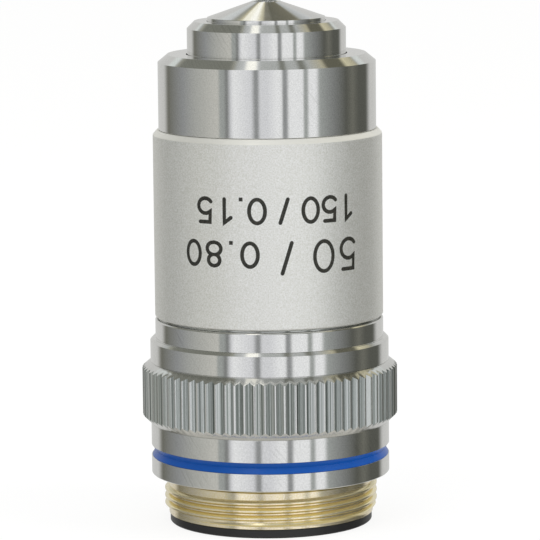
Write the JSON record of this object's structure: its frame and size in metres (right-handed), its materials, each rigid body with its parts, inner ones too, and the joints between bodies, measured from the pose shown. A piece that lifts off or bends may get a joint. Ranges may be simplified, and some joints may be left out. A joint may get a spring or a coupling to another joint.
{
  "type": "microscope objective",
  "caption": "Dry microscope objective with a spring-loaded nose, a knurled grip, a blue band and a brass screw mount.",
  "frame": {"origin": "centre of the rear end, on the optical axis", "axes": "+Z along the optical axis towards the specimen; X and Y across it"},
  "size_m": [0.0242, 0.0242, 0.0494],
  "materials": {
    "polished_chrome": "bright plated and polished, with faint turning marks",
    "satin_chrome": "bead-blasted satin plating",
    "bare_brass": "turned and left bare",
    "black_anodised": "matt black anodised",
    "blue_enamel": "glossy enamel fill",
    "spring_steel": "drawn wire and turned steel",
    "optical_glass": "polished and coated glass"
  },
  "bodies": {
    "fixed_barrel": {"rear_ring": "black_anodised", "thread_mount": "bare_brass", "main_barrel": "polished_chrome", "colour_ring": "blue_enamel", "sleeve": "satin_chrome", "front_cap": "polished_chrome", "return_spring": "spring_steel", "guide_screw": "spring_steel"},
    "sliding_nose": {"lens_barrel": "polished_chrome", "nose_cone": "polished_chrome", "front_lens": "optical_glass", "meniscus_cell": "black_anodised", "meniscus_lens": "optical_glass", "front_spacer": "black_anodised", "middle_cell": "black_anodised", "middle_crown": "optical_glass", "middle_flint": "optical_glass", "rear_spacer": "black_anodised", "rear_cell": "black_anodised", "rear_crown": "optical_glass", "rear_flint": "optical_glass", "aperture_stop": "black_anodised", "retaining_ring": "black_anodised"}
  },
  "joints": [
    {"name": "nose_retraction", "type": "slide", "parent": "fixed_barrel", "child": "sliding_nose", "axis": [0, 0, -1], "range_m": [0, 0.0025], "stiffness_N_per_m": 600, "springref_m": -0.002, "deforming": ["return_spring"]}
  ]
}
